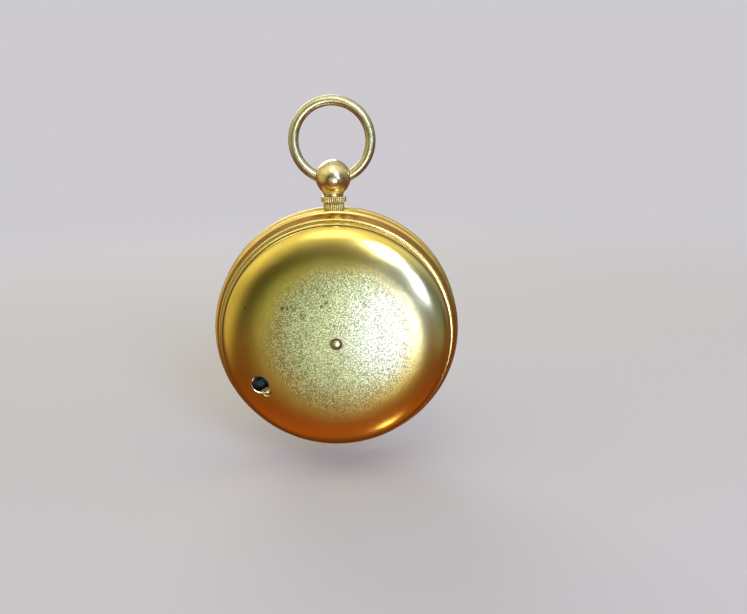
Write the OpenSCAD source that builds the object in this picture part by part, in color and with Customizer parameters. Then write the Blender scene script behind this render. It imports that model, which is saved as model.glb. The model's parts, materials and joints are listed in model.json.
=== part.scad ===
// Open face pocket watch, key wound from the back, hanging by its bow.
// +Z runs up through the pendant, the dial faces -Y and the back faces +Y.
// The origin is the point where the bow hangs, the lowest point of its inner top.
//
// Every piece is drawn in the watch's own frame and then placed by W():
// x to the right and y up as seen from the dial, z towards the dial, with the
// case centre at x = y = 0 and z = 0 at the groove where the back meets its lip.

/* [Case] */
// Radius of the case over the bead at its front edge
case_r = 24.0; // [23.9:0.02:24.1]
// Radius of the bezel over its widest edge
rim_r = 24.28; // [24.1:0.02:24.5]
// How far the back bulges behind its groove
back_bulge = 3.6; // [3.5:0.05:3.8]
// Thickness of the back's wall
cup_wall = 0.7; // [0.6:0.02:0.72]
// How far the crystal rises above its edge
crystal_rise = 1.4; // [1.0:0.1:2.0]

/* [Winding hole] */
// Distance of the winding hole from the middle of the back
hole_rho = 16.87; // [16.8:0.01:16.95]
// Radius of the winding hole
hole_r = 1.56; // [1.5:0.01:1.62]
// Radius of the small lobe that the shutter's nib parks in
lobe_r = 0.75; // [0.7:0.01:0.8]

/* [Pendant and bow] */
// Height of the ball's centre above the case centre
ball_v = 30.0; // [29.95:0.05:30.1]
// Radius of the pendant ball
ball_r = 3.35; // [3.3:0.01:3.4]
// Radius of the milled collar
collar_r = 2.4; // [2.2:0.05:2.6]
// Number of reeds on the collar
collar_reeds = 36; // [24:1:48]
// Radius of the bow's wire
wire_r = 0.97; // [0.9:0.01:1.05]
// Radius of the bow over the middle of its wire
bow_r = 7.23; // [7.15:0.02:7.3]
// Height of the bow's ring centre above the case centre
bow_v = 36.87; // [36.8:0.01:36.95]

/* [Dial and hands] */
// Radius of the dial
dial_r = 20.7; // [20.4:0.05:20.75]
// Length of the minute hand from the centre
minute_len = 15.8; // [13:0.1:17]
// Length of the hour hand from the centre
hour_len = 10.6; // [8:0.1:12]
// Angle of the minute hand, clockwise from twelve
minute_deg = 60; // [0:1:359]
// Angle of the hour hand, clockwise from twelve
hour_deg = 305; // [0:1:359]

/* [Movement] */
// Radius of the balance over its screws
balance_r = 6.8; // [6.5:0.05:6.85]
// Number of timing screws on the balance
balance_screw_count = 12; // [8:2:16]
// Number of turns in the hairspring
hair_turns = 8; // [6:1:9]
// Number of turns in the mainspring
main_turns = 8; // [6:1:9]
// Running clearance between a pivot and its hole
fit = 0.02; // [0.01:0.005:0.03]

/* [Hidden] */
$fn = 96;
e = 0.01;

// height of the pendant's axis above the groove plane
ph = 6.6;
// height of the hanging point above the case centre
hang = bow_v + bow_r - wire_r;
// radius of the pins on the bow's ends
pin_r = 0.6;
// axis of the bezel's hinge, below the case centre and above the groove plane
hinge_r = 23.6;
hinge_z = 9.22;
// radii of the dome of the back, outside and inside
dome_r = 21.7;
dome_in = 21.0;

// winding hole, lobe and shutter, as angles seen from the dial
hole_a = -28.69;
lobe_a = -35.42;
lobe_rho = 16.565;
nib_rho = 16.63;

// places of the train, each a distance and an angle from the piece before it
function at(p, d, a) = [p[0] + d * cos(a), p[1] + d * sin(a)];
function dirn(a, b) = atan2(b[1] - a[1], b[0] - a[0]);
O = [0, 0];
B = at(O, 10, hole_a);                  // barrel
K = at(O, hole_rho, hole_a);            // winding arbor
T3 = at(O, 6.84, -145);                 // third arbor
T4 = at(T3, 5.44, 140);                 // fourth arbor
T5 = at(T4, 5.04, 75);                  // escape arbor
PA = at(T5, 3.7, 20);                   // pallet arbor
BA = at(PA, 4.3, 20);                   // balance staff
MS = at(O, 3.6, -90);                   // minute wheel stud
CL = at(B, 6.6, 70);                    // click pivot

// gear modules, from the distances above
m_b = 10 / 42;
m_k = (hole_rho - 10) / 24;
m_c = 6.84 / 36;
m_3 = 0.16;
m_4 = 0.14;
m_m = 3.6 / 24;
m_h = 3.6 / 25;

// pillar positions, between the two plates
PIL = [for (a = [15, 105, 195, 285]) at(O, 17.8, a)];
// case screw and dial foot positions
CS = [for (a = [40, 160, 280]) at(O, 20.15, a)];
DF = [for (a = [60, 180, 300]) at(O, 18.9, a)];
// bridge screws, cock foot and screw, potence foot
BS = [at(K, 3.4, hole_a + 90), at(K, 3.4, hole_a - 90)];
CF = at(O, 15.7, 97.5);
PF = at(BA, 4.4, 35);

module W() { translate([0, ph, -hang]) rotate([90, 0, 0]) children(); }
module P() { translate([0, 0, ph]) rotate([-90, 0, 0]) children(); }
module at2(p) { translate([p[0], p[1], 0]) children(); }
module disc(r, z0, z1) { translate([0, 0, z0]) cylinder(r = r, h = z1 - z0); }
module hole(p, r, z0, z1) { at2(p) disc(r, z0 - e, z1 + e); }
module turned(p) { rotate_extrude() polygon(p); }

// gear outline: n teeth, root and tip radius, half widths as parts of the pitch
function gear(n, rr, rt, wr, wt, a0) = [
    for (i = [0:n - 1], p = [[rr, -wr], [rt, -wt], [rt, wt], [rr, wr]])
        let (a = a0 + (i + p[1]) * 360 / n) [p[0] * cos(a), p[0] * sin(a)]];
module wheel_teeth(n, m, a0, z0, z1)
    translate([0, 0, z0]) linear_extrude(z1 - z0)
        polygon(gear(n, n * m / 2 - 1.25 * m, n * m / 2 + 0.85 * m, 0.24, 0.1, a0));
module leaves(n, m, a0, z0, z1)
    translate([0, 0, z0]) linear_extrude(z1 - z0)
        polygon(gear(n, n * m / 2 - 1.3 * m, n * m / 2 + 0.62 * m, 0.2, 0.09, a0));
// a toothed wheel with a rim, arms, a hub and a bore
module spoked(n, m, a0, z0, z1, rim, hub, bore, arms, w)
    translate([0, 0, z0]) linear_extrude(z1 - z0) difference() {
        polygon(gear(n, n * m / 2 - 1.25 * m, n * m / 2 + 0.85 * m, 0.24, 0.1, a0));
        difference() {
            circle(r = rim);
            circle(r = hub);
            for (k = [0:arms - 1]) rotate(k * 360 / arms + 12) translate([0, -w / 2]) square([rim + 0.1, w]);
        }
        circle(r = bore);
    }
// a flat spiral strip of thickness t from radius r0 to r1
function spiral(r0, r1, turns, t, per) = concat(
    [for (i = [0:turns * per]) let (s = i / (turns * per), a = s * turns * 360, r = r0 + (r1 - r0) * s - t / 2)
        [r * cos(a), r * sin(a)]],
    [for (i = [turns * per:-1:0]) let (s = i / (turns * per), a = s * turns * 360, r = r0 + (r1 - r0) * s + t / 2)
        [r * cos(a), r * sin(a)]]);
// slotted cheese head screw, head from z0 towards the back, shank towards the dial
module screw(rh, z0, h, rs, z1) {
    difference() {
        union() { disc(rh, z0 - h, z0); disc(rs, z0 - e, z1); }
        translate([-rh - 1, -0.09, z0 - h - 1]) cube([2 * rh + 2, 0.18, 1.16]);
    }
}

// ---------------------------------------------------------------- bow and pendant

// Round wire ring, open at the ball, with a pin turned on each end
module bow() color("gold") W() {
    difference() {
        translate([0, bow_v, ph]) rotate_extrude() translate([bow_r, 0]) circle(r = wire_r);
        translate([0, ball_v, ph]) rotate([0, 0, 90]) sphere(r = ball_r + 0.04);
    }
    for (s = [-1, 1])
        translate([s * 1.6, ball_v, ph]) rotate([0, s * 90, 0]) cylinder(r = pin_r, h = 2.0);
}

// Ball with a short neck, bored from below for the stem and across for the bow
module pendant_ball() color("gold") W() difference() {
    union() {
        translate([0, ball_v, ph]) rotate([0, 0, 90]) sphere(r = ball_r);
        P() turned([[0, 26.5], [1.75, 26.5], [1.85, 26.6], [1.9, 26.9], [2.05, 27.2], [2.4, 27.6], [2.66, 28.0], [0, 29.2]]);
    }
    P() disc(1.0, 26.4, 28.0);
    for (s = [-1, 1]) translate([s * 1.5, ball_v, ph]) rotate([0, s * 90, 0]) cylinder(r = pin_r + fit, h = 2.5);
}

// Milled ring between the ball's neck and the stem
module pendant_collar() color("gold") W() P() difference() {
    intersection() {
        translate([0, 0, 25.4]) linear_extrude(1.1)
            polygon(gear(collar_reeds, collar_r - 0.13, collar_r, 0.34, 0.12, 0));
        turned([[0, 25.4], [collar_r - 0.15, 25.4], [collar_r, 25.55], [collar_r, 26.35], [collar_r - 0.15, 26.5], [0, 26.5]]);
    }
    disc(1.0, 25.3, 26.6);
}

// outer shape of the case middle, closed to the axis
MID = [[20.98, 0.5], [20.98, 1.4], [22.0, 1.4], [22.0, 1.52], [22.45, 1.52], [22.72, 1.62], [22.85, 1.82],
    [22.78, 2.04], [22.5, 2.2], [22.46, 2.4], [22.55, 2.62], [22.85, 3.05], [23.15, 3.5], [23.42, 3.95], [23.55, 4.16],
    [case_r - 0.2, 4.3], [case_r - 0.05, 4.45], [case_r, 4.67], [case_r - 0.05, 4.88], [case_r - 0.2, 5.0],
    [23.5, 5.15], [23.42, 5.5], [23.45, 6.5], [23.6, 7.5], [23.85, 8.1], [rim_r - 0.16, 8.3], [rim_r - 0.04, 8.5],
    [rim_r, 8.76], [rim_r - 0.04, 9.0], [rim_r - 0.2, 9.15], [22.6, 9.15], [22.6, 10.0]];

// Reeded stem, its foot shaped to the case, with a tenon down into it
module pendant_stem() color("gold") W() {
    difference() {
        P() union() {
            translate([0, 0, 22.5]) linear_extrude(2.6) polygon(gear(30, 1.9, 2.0, 0.34, 0.12, 3));
            disc(1.85, 22.5, 25.4);
        }
        turned(concat([[0, 0.5]], MID, [[0, 10.0]]));
    }
    P() disc(1.3, 21.2, 24.4);
    P() disc(1.0, 25.3, 28.0);
}

// ---------------------------------------------------------------- case

// Deep one-piece back with the winding hole, its lobe and the rivet hole
module back_cup() color("goldenrod") W() difference() {
    turned(concat(
        [for (t = [0:5:90]) [dome_r * pow(sin(t), 2 / 3), -back_bulge * cos(t)]],
        [[21.78, 0.07], [21.98, 0.13], [22.12, 0.35], [22.15, 0.7], [22.12, 1.1], [21.98, 1.34], [21.85, 1.4], [dome_in, 1.4]],
        [for (t = [90:-5:0]) [dome_in * pow(sin(t), 2 / 3), -(back_bulge - cup_wall) * cos(t)]]));
    hole(K, hole_r, -5, 1);
    hole(at(O, lobe_rho, lobe_a), lobe_r, -5, 1);
    hole(O, 0.55, -5, 1);
}

// Rivet that the shutter turns on, with a domed head outside
module shutter_rivet() color("goldenrod") W()
    turned([[0, -2.3], [1.0, -2.3], [1.1, -2.4], [1.1, -2.5], [0.55, -2.5], [0.55, -back_bulge], [1.1, -back_bulge],
        [1.06, -back_bulge - 0.12], [0.9, -back_bulge - 0.23], [0.6, -back_bulge - 0.3], [0, -back_bulge - 0.33]]);

// inner face of the back, as a height over the radius
function inz(r) = -(back_bulge - cup_wall) * sqrt(1 - pow(r / dome_in, 3));
module shutter_sheet(g, t) turned(concat(
    [for (r = [0:1.0:18.8]) [r, inz(r) + g]], [for (r = [18.8:-1.0:0]) [r, inz(r) + g + t]], [[0, inz(0) + g + t]]));

// Thin dished blade that swings under the winding hole
module winding_shutter() color("darkgoldenrod") W() difference() {
    intersection() {
        shutter_sheet(0.07, 0.25);
        translate([0, 0, -4]) linear_extrude(4) union() {
            circle(r = 1.8);
            rotate(-41.4) translate([0, -1.1]) square([16, 2.2]);
            polygon(concat([for (a = [-49.7:1.66:-33.1]) at(O, 18.7, a)], [for (a = [-33.1:-1.66:-49.7]) at(O, 14.6, a)]));
        }
    }
    hole(O, 0.55 + fit, -4, 0);
    hole(at(O, nib_rho, lobe_a), 0.2, -4, 0);
}

// Nib on the blade, reached from outside through the hole's lobe
module shutter_nib() color("gold") W() at2(at(O, nib_rho, lobe_a)) {
    z = inz(nib_rho);
    turned([[0, z + 0.5], [0.2, z + 0.5], [0.2, z + 0.1], [0.42, z - 0.02], [0.42, -2.72], [0.36, -2.82], [0.2, -2.88], [0, -2.9]]);
}

// Middle band with a bead at each edge, the ledge for the movement and two hinge knuckles
module case_middle() color("gold") W() difference() {
    union() {
        turned(concat([[20.3, 5.1], [20.3, 0.5]], MID, [[20.8, 10.0], [20.8, 6.2], [19.75, 6.2], [19.75, 5.4]]));
        for (s = [-1, 1]) translate([s > 0 ? 1.62 : -3.4, -hinge_r, hinge_z]) rotate([0, 90, 0]) cylinder(r = 0.6, h = 1.78);
    }
    P() disc(1.3, 21.0, 26);
    translate([-1.62, -hinge_r, hinge_z]) rotate([0, 90, 0]) cylinder(r = 0.7, h = 3.24);
    translate([-5, -hinge_r, hinge_z]) rotate([0, 90, 0]) cylinder(r = 0.25, h = 10);
    for (p = CS) hole(p, 0.25, 5.5, 7);
}

// Bezel that holds the crystal, with the hinge's middle knuckle
module bezel() color("gold") W() difference() {
    union() {
        difference() {
            turned([[22.66, 9.3], [23.45, 9.3], [23.58, 9.42], [23.6, 9.7], [23.52, 10.15], [23.3, 10.6], [22.95, 11.0], [22.5, 11.25],
                [22.1, 11.3], [21.75, 11.2], [21.5, 11.0], [21.9, 11.0], [21.9, 10.4], [21.3, 10.4], [21.3, 10.2], [21.5, 10.12], [22.66, 10.12]]);
            for (s = [-1, 1]) translate([s > 0 ? 1.55 : -3.5, -hinge_r, hinge_z]) rotate([0, 90, 0]) cylinder(r = 0.7, h = 1.95);
        }
        translate([-1.55, -hinge_r, hinge_z]) rotate([0, 90, 0]) cylinder(r = 0.6, h = 3.1);
    }
    translate([-5, -hinge_r, hinge_z]) rotate([0, 90, 0]) cylinder(r = 0.25 + fit, h = 10);
}

// Domed glass, seated in the bezel
module crystal() color([0.8, 0.9, 0.95, 0.35]) W()
    turned(concat([[21.2, 10.4], [21.9, 10.4], [21.9, 11.0]],
        [for (k = [10:-1:0]) [2.15 * k, 11.0 + crystal_rise * (1 - pow(k / 10, 2))]],
        [for (k = [0:9]) [2.12 * k, 10.4 + crystal_rise * (1 - pow(k / 10, 2))]]));

// Pin of the bezel's hinge
module bezel_hinge_pin() color("silver") W()
    translate([-3.4, -hinge_r, hinge_z]) rotate([0, 90, 0]) cylinder(r = 0.25, h = 6.8);

// Screws that hold the movement on the ledge
module case_screws() color("steelblue") W() for (p = CS) at2(p) difference() {
    union() { disc(0.5, 7.2, 7.55); disc(0.25, 5.6, 7.3); }
    translate([-1, -0.08, 7.4]) cube([2, 0.16, 1]);
}

// ---------------------------------------------------------------- dial and hands

// Enamelled dial
module dial() color("ivory") W() difference() {
    turned([[0, 8.2], [dial_r, 8.2], [dial_r, 8.75], [dial_r - 0.15, 8.88], [dial_r - 0.4, 8.9], [0, 8.9]]);
    disc(1.15, 8, 9);
}

// Copper feet that stand the dial on the pillar plate
module dial_feet() color("peru") W() for (p = DF) at2(p) { disc(0.75, 7.2, 8.2); disc(0.4, 6.3, 7.3); }

// hand outline: stem, spade and tip, along +x
module hand2d(len, ws, wt, wb) {
    polygon([[-2.6, -ws * 1.3], [-2.2, -ws * 1.7], [0, -ws], [len * 0.6, -ws * 0.6], [len * 0.66, -wb], [len * 0.73, -wb * 0.95],
        [len * 0.82, -wt * 1.6], [len, -0.06], [len, 0.06], [len * 0.82, wt * 1.6], [len * 0.73, wb * 0.95], [len * 0.66, wb],
        [len * 0.6, ws * 0.6], [0, ws], [-2.2, ws * 1.7], [-2.6, ws * 1.3]]);
}
module hour_hand() color("midnightblue") W() difference() {
    union() {
        rotate([0, 0, 90 - hour_deg]) translate([0, 0, 9.3]) linear_extrude(0.16) hand2d(hour_len, 0.36, 0.24, 1.15);
        disc(1.5, 9.3, 9.5);
    }
    disc(1.0, 9, 10);
}
module minute_hand() color("midnightblue") W() difference() {
    union() {
        rotate([0, 0, 90 - minute_deg]) translate([0, 0, 9.74]) linear_extrude(0.16) hand2d(minute_len, 0.3, 0.2, 0.8);
        disc(1.15, 9.72, 9.95);
    }
    disc(0.7, 9, 10.5);
}

// ---------------------------------------------------------------- motion work

module cannon_pinion() color("silver") W() difference() {
    union() {
        leaves(12, m_m, dirn(O, MS) + 15, 7.28, 7.65);
        disc(0.7, 7.28, 9.95);
        translate([-0.45, -0.45, 9.9]) cube([0.9, 0.9, 0.55]);
    }
    disc(0.45, 7, 9.6);
}
module minute_wheel() color("khaki") W() at2(MS) difference() {
    union() {
        wheel_teeth(36, m_m, dirn(MS, O), 7.36, 7.6);
        leaves(10, m_h, dirn(MS, O) + 18, 7.55, 8.05);
    }
    disc(0.35 + fit, 7, 9);
}
module hour_wheel() color("khaki") W() difference() {
    union() {
        wheel_teeth(40, m_h, dirn(O, MS), 7.75, 8.0);
        disc(1.0, 7.75, 9.5);
    }
    disc(0.7 + fit, 7, 10);
}
module minute_stud() color("silver") W() at2(MS) { disc(0.35, 6.3, 8.1); disc(0.6, 7.2, 7.33); }

// ---------------------------------------------------------------- plates

module pillar_plate() color("khaki") W() difference() {
    disc(20.7, 6.2, 7.2);
    hole(O, 0.62, 6, 8);
    hole(B, 0.52, 6, 8);
    hole(T3, 0.17, 6, 8);
    for (p = [T4, T5, PA]) hole(p, 0.5, 6, 8);
    for (p = PIL) hole(p, 0.5, 6, 8);
    hole(MS, 0.35, 6, 8);
    for (p = DF) hole(p, 0.4, 6, 8);
    for (p = CS) hole(p, 0.25, 6, 8);
}

// Back plate, recessed for the winding wheels and the click
module top_plate() color("khaki") W() {
    difference() {
        disc(19.6, -0.3, 0.7);
        hole(B, 5.35, -0.5, 0.19);
        hole(K, 2.5, -0.5, 0.19);
        translate([0, 0, -0.5]) linear_extrude(0.7) polygon([at(B, 5.0, 20), at(B, 6.6, 22), at(B, 7.4, 30),
            at(B, 8.6, 45), at(B, 8.6, 62), at(B, 8.0, 80), at(B, 6.2, 88), at(B, 5.0, 80)]);
        hole(B, 0.95, -1, 1);
        hole(K, 0.62, -1, 0.68);
        hole(O, 0.37, -1, 1);
        hole(T3, 0.17, -1, 1);
        for (p = [T4, T5, PA]) hole(p, 0.5, -1, 1);
        hole(BA, 0.6, -1, 1);
        for (p = PIL) hole(p, 0.4, -1, 1);
        for (p = BS) hole(p, 0.25, -1, 1);
        hole(CF, 0.4, -1, 1);
        hole(PF, 0.3, -1, 1);
        hole(CL, 0.3, -1, 0.6);
        hole(at(BA, 2.95, -95), 0.2, -1, 1);
    }
    difference() { at2(BA) disc(0.94, -0.52, -0.2); hole(BA, 0.6, -1, 0); }
}
module pillars() color("khaki") W() for (p = PIL) at2(p) difference() {
    union() {
        turned([[0, 0.7], [0.95, 0.7], [0.95, 1.1], [0.6, 1.5], [0.6, 1.8], [0.8, 2.6], [0.85, 3.45], [0.8, 4.3], [0.6, 5.1], [0.6, 5.4], [0.95, 5.8], [0.95, 6.2], [0, 6.2]]);
        disc(0.5, 6.1, 7.1);
    }
    disc(0.4, 0, 2.2);
}
module plate_screws() color("steelblue") W() {
    for (p = PIL) at2(p) screw(0.8, -0.3, 0.4, 0.4, 2.1);
    for (p = BS) at2(p) screw(0.6, -0.7, 0.25, 0.25, 0.6);
    at2(CF) screw(0.9, -1.35, 0.3, 0.4, 0.6);
    at2(CL) screw(0.6, -0.22, 0.28, 0.3, 0.55);
    at2(PF) mirror([0, 0, 1]) screw(0.6, -2.1, 0.3, 0.3, 0.25);
}
// Jewelled bearings of the fourth, escape and pallet arbors, in both plates
module plate_jewels() color("crimson") W() for (p = [T4, T5, PA], z = [-0.3, 6.2]) at2(p) difference() {
    disc(0.5, z, z + 1);
    disc(0.17, z - 1, z + 2);
    translate([0, 0, z < 0 ? z : z + 1]) sphere(r = 0.3);
}

// ---------------------------------------------------------------- power

module barrel() color("khaki") W() at2(B) difference() {
    union() {
        disc(7.9, 0.9, 5.1);
        wheel_teeth(72, m_b, dirn(B, O), 0.95, 1.5);
    }
    disc(7.55, 1.4, 6);
    disc(0.95, 0, 6);
}
module barrel_cover() color("khaki") W() at2(B) difference() {
    disc(7.55, 4.75, 5.1);
    disc(0.95, 4, 6);
}
// Coiled mainspring between the arbor and the barrel wall
module mainspring() color("slategray") W() at2(B) translate([0, 0, 1.55]) linear_extrude(3.05)
    polygon(spiral(2.3, 7.46, main_turns, 0.16, 20));
module barrel_arbor() color("silver") W() at2(B) difference() {
    union() {
        translate([-0.65, -0.65, -0.18]) cube([1.3, 1.3, 0.5]);
        disc(0.93, 0.2, 5.15);
        disc(1.7, 1.44, 4.7);
        disc(0.7, 5.1, 6.15);
        disc(0.5, 6.1, 6.95);
    }
    disc(0.3, -1, 1.0);
}
module ratchet_wheel() color("silver") W() at2(B) difference() {
    wheel_teeth(34, m_k, dirn(B, K), -0.18, 0.18);
    translate([-0.65, -0.65, -1]) cube([1.3, 1.3, 2]);
}
module ratchet_screw() color("steelblue") W() at2(B) screw(1.3, -0.18, 0.3, 0.3, 0.9);
// Arbor that takes the key, with its pinion in the recess
module winding_arbor() color("silver") W() at2(K) {
    leaves(14, m_k, dirn(K, B) + 180 / 14, -0.18, 0.16);
    disc(0.6, 0.1, 0.66);
    disc(0.9, -0.7, -0.1);
    rotate([0, 0, hole_a]) translate([-0.6, -0.6, -1.4]) cube([1.2, 1.2, 0.8]);
}
module winding_bridge() color("khaki") W() difference() {
    union() {
        at2(K) disc(2.75, -0.7, -0.3);
        for (p = BS) at2(p) disc(1.0, -0.7, -0.3);
        at2(K) rotate([0, 0, hole_a]) translate([-0.8, -3.4, -0.7]) cube([1.6, 6.8, 0.4]);
    }
    hole(K, 0.9 + fit, -1, 0);
    for (p = BS) hole(p, 0.25, -1, 0);
}
// Click that keeps the ratchet wheel from running back
module click() color("silver") W() difference() {
    translate([0, 0, -0.18]) linear_extrude(0.34) union() {
        translate(CL) circle(r = 0.75);
        polygon([at(CL, 0.72, 160), at(B, 5.32, 52), at(B, 5.2, 41), at(B, 5.02, 37.3), at(B, 5.62, 36), at(B, 6.3, 50), at(CL, 0.72, 20)]);
    }
    hole(CL, 0.32, -1, 1);
}
// Blade spring behind the click, fixed at its thick end
module click_spring() color("steelblue") W() translate([0, 0, -0.2]) linear_extrude(0.36)
    polygon([at(B, 8.55, 46), at(B, 8.55, 61), at(B, 7.9, 61), at(B, 7.86, 52), at(B, 7.1, 44), at(B, 6.3, 38.4), at(B, 6.42, 38), at(B, 7.26, 43.4), at(B, 8.0, 46)]);

// ---------------------------------------------------------------- going train

module centre_arbor() color("silver") W() {
    disc(0.35, -0.28, 0.8);
    disc(0.75, 0.76, 6.12);
    leaves(12, m_b, dirn(O, B) + 15, 0.9, 1.6);
    disc(1.3, 5.2, 5.5);
    disc(0.6, 6.0, 7.25);
    disc(0.45, 7.2, 9.6);
}
module centre_wheel() color("gold") W() spoked(64, m_c, dirn(O, T3), 5.5, 5.8, 5.2, 1.5, 0.75, 5, 0.8);

module pivot_arbor(r) { disc(0.15, -0.1, 6.9); disc(r, 0.76, 6.14); }
module third_arbor() color("silver") W() at2(T3) {
    pivot_arbor(0.35);
    leaves(8, m_c, dirn(T3, O) + 22.5, 5.3, 6.0);
}
module third_wheel() color("gold") W() at2(T3) spoked(60, m_3, dirn(T3, T4), 3.7, 4.0, 4.15, 1.0, 0.35, 5, 0.6);
module fourth_arbor() color("silver") W() at2(T4) {
    pivot_arbor(0.3);
    leaves(8, m_3, dirn(T4, T3) + 22.5, 3.5, 4.2);
}
module fourth_wheel() color("gold") W() at2(T4) spoked(64, m_4, dirn(T4, T5), 2.4, 2.65, 3.9, 0.9, 0.3, 5, 0.5);
module escape_arbor() color("silver") W() at2(T5) {
    pivot_arbor(0.25);
    leaves(8, m_4, dirn(T5, T4) + 22.5, 2.2, 2.85);
}
module escape_wheel() color("gold") W() at2(T5) difference() {
    translate([0, 0, 1.0]) linear_extrude(0.2)
        polygon([for (i = [0:14], p = [[2.55, -4], [3.18, 1.5], [3.18, 4.2], [2.55, 3]]) let (a = i * 24 + 10 + p[1]) [p[0] * cos(a), p[0] * sin(a)]]);
    difference() {
        disc(2.2, 0.9, 1.3);
        disc(0.7, 0.8, 1.4);
        for (k = [0:3]) rotate([0, 0, k * 90]) translate([0, -0.2, 0.8]) cube([3, 0.4, 0.6]);
    }
    disc(0.25, 0.8, 1.4);
}

// ---------------------------------------------------------------- escapement

S1 = at(T5, 3.24, 50);
S2 = at(T5, 3.24, -10);
module pallet_lever() color("silver") W() difference() {
    translate([0, 0, 1.0]) linear_extrude(0.2) difference() {
        union() {
            translate(PA) circle(r = 0.6);
            for (s = [S1, S2]) translate(PA) rotate(dirn(PA, s)) translate([0, -0.22]) square([1.75, 0.44]);
            translate(PA) rotate(20) polygon([[0, -0.3], [2.7, -0.16], [3.15, -0.42], [3.6, -0.4], [3.6, 0.4], [3.15, 0.42], [2.7, 0.16], [0, 0.3]]);
        }
        for (s = [S1, S2]) translate(s) rotate(dirn(T5, s)) translate([0, -0.15]) square([0.7, 0.3]);
        translate(PA) rotate(20) translate([3.1, -0.16]) square([1, 0.32]);
        translate(T5) circle(r = 3.21);
    }
    hole(PA, 0.22, 0.5, 2);
}
// Two ruby pallet stones
module pallet_stones() color("crimson") W() for (s = [S1, S2])
    translate([s[0], s[1], 1.0]) rotate([0, 0, dirn(T5, s)]) translate([0, -0.15, 0]) cube([0.7, 0.3, 0.2]);
module pallet_arbor() color("silver") W() at2(PA) { disc(0.15, -0.1, 6.9); disc(0.22, 0.76, 6.14); }
// Bracket inside the top plate that carries the balance's inner pivot
module potence() color("khaki") W() difference() {
    union() {
        at2(PF) disc(1.1, 0.7, 2.1);
        translate([0, 0, 1.65]) linear_extrude(0.45) union() {
            translate(BA) circle(r = 0.8);
            translate(BA) rotate(35) translate([0, -0.6]) square([4.4, 1.2]);
        }
    }
    hole(BA, 0.12, 0, 3);
    hole(PF, 0.3, 0, 3);
}

// Balance rim with two arms, on the back of the top plate
module balance_wheel() color("gold") W() at2(BA) difference() {
    disc(balance_r - 0.5, -1.2, -0.85);
    difference() {
        disc(balance_r - 1.25, -1.3, -0.7);
        disc(1.0, -1.4, -0.6);
        rotate([0, 0, 35]) translate([-7, -0.5, -1.4]) cube([14, 1.0, 1]);
    }
    disc(0.3, -2, 0);
}
module balance_screws() color("gold") W() at2(BA) for (k = [0:balance_screw_count - 1])
    rotate([0, 0, 35 + (k + 0.5) * 360 / balance_screw_count]) difference() {
        translate([balance_r - 0.52, 0, -1.02]) rotate([0, 90, 0]) cylinder(r = 0.26, h = 0.5);
        disc(balance_r - 0.5, -1.2, -0.85);
    }
module balance_staff() color("silver") W() at2(BA) {
    disc(0.1, -1.72, 2.05);
    disc(0.3, -1.3, 1.5);
}
// Roller with the impulse pin that the lever's fork takes
module impulse_roller() color("silver") W() at2(BA) {
    difference() { disc(1.1, 1.3, 1.45); disc(0.3, 1, 2); }
    rotate([0, 0, 200]) translate([0.95, 0, 1.03]) cylinder(r = 0.09, h = 0.3, $fn = 24);
}
module hairspring() color("midnightblue") W() at2(BA) {
    difference() { disc(0.5, -0.74, -0.56); disc(0.3, -1, 0); }
    translate([0, 0, -0.72]) linear_extrude(0.14) rotate(-95) polygon(spiral(0.52, 2.72, hair_turns, 0.07, 18));
}
module hairspring_stud() color("silver") W() at2(at(BA, 2.95, -95)) disc(0.2, -0.78, 0.6);
// Cock that carries the balance's outer pivot
module balance_cock() color("khaki") W() difference() {
    union() {
        at2(CF) disc(1.35, -1.35, -0.3);
        translate([0, 0, -1.75]) linear_extrude(0.4) difference() {
            union() {
                translate(CF) circle(r = 1.35);
                translate(BA) circle(r = 2.0);
                polygon([at(CF, 1.35, 180), at(CF, 1.35, 0), at(BA, 1.7, 20), at(BA, 1.7, 160)]);
            }
            translate(CF) circle(r = 0.95);
        }
    }
    hole(BA, 0.8, -2, 0);
    hole(CF, 0.4, -2, 0);
}
module cock_jewel() color("crimson") W() at2(BA) difference() {
    disc(0.8, -1.75, -1.37);
    disc(0.12, -2, 0);
    translate([0, 0, -1.75]) sphere(r = 0.28);
}
// Index that shortens or lengthens the hairspring
module regulator_index() color("steelblue") W() at2(BA) {
    difference() {
        translate([0, 0, -0.5]) linear_extrude(0.18) union() {
            circle(r = 1.6);
            polygon([at(O, 1.4, 150), at(O, 8.3, 179), at(O, 8.7, 180), at(O, 8.3, 181), at(O, 1.4, 210)]);
            polygon([at(O, 1.2, -170), at(O, 3.05, -143), at(O, 3.05, -130), at(O, 1.2, -110)]);
        }
        disc(0.94 + fit, -1, 0);
    }
    for (r = [2.55, 2.83]) at2(at(O, r, -136)) disc(0.05, -0.76, -0.45);
}

bow();
pendant_ball();
pendant_collar();
pendant_stem();
back_cup();
shutter_rivet();
winding_shutter();
shutter_nib();
case_middle();
bezel();
crystal();
bezel_hinge_pin();
case_screws();
dial();
dial_feet();
hour_hand();
minute_hand();
cannon_pinion();
minute_wheel();
hour_wheel();
minute_stud();
pillar_plate();
top_plate();
pillars();
plate_screws();
plate_jewels();
barrel();
barrel_cover();
mainspring();
barrel_arbor();
ratchet_wheel();
ratchet_screw();
winding_arbor();
winding_bridge();
click();
click_spring();
centre_arbor();
centre_wheel();
third_arbor();
third_wheel();
fourth_arbor();
fourth_wheel();
escape_arbor();
escape_wheel();
pallet_lever();
pallet_stones();
pallet_arbor();
potence();
balance_wheel();
balance_screws();
balance_staff();
impulse_roller();
hairspring();
hairspring_stud();
balance_cock();
cock_jewel();
regulator_index();
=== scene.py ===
import json
import math

import bmesh
import bpy
import numpy as np
from mathutils import Matrix, Vector


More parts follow.
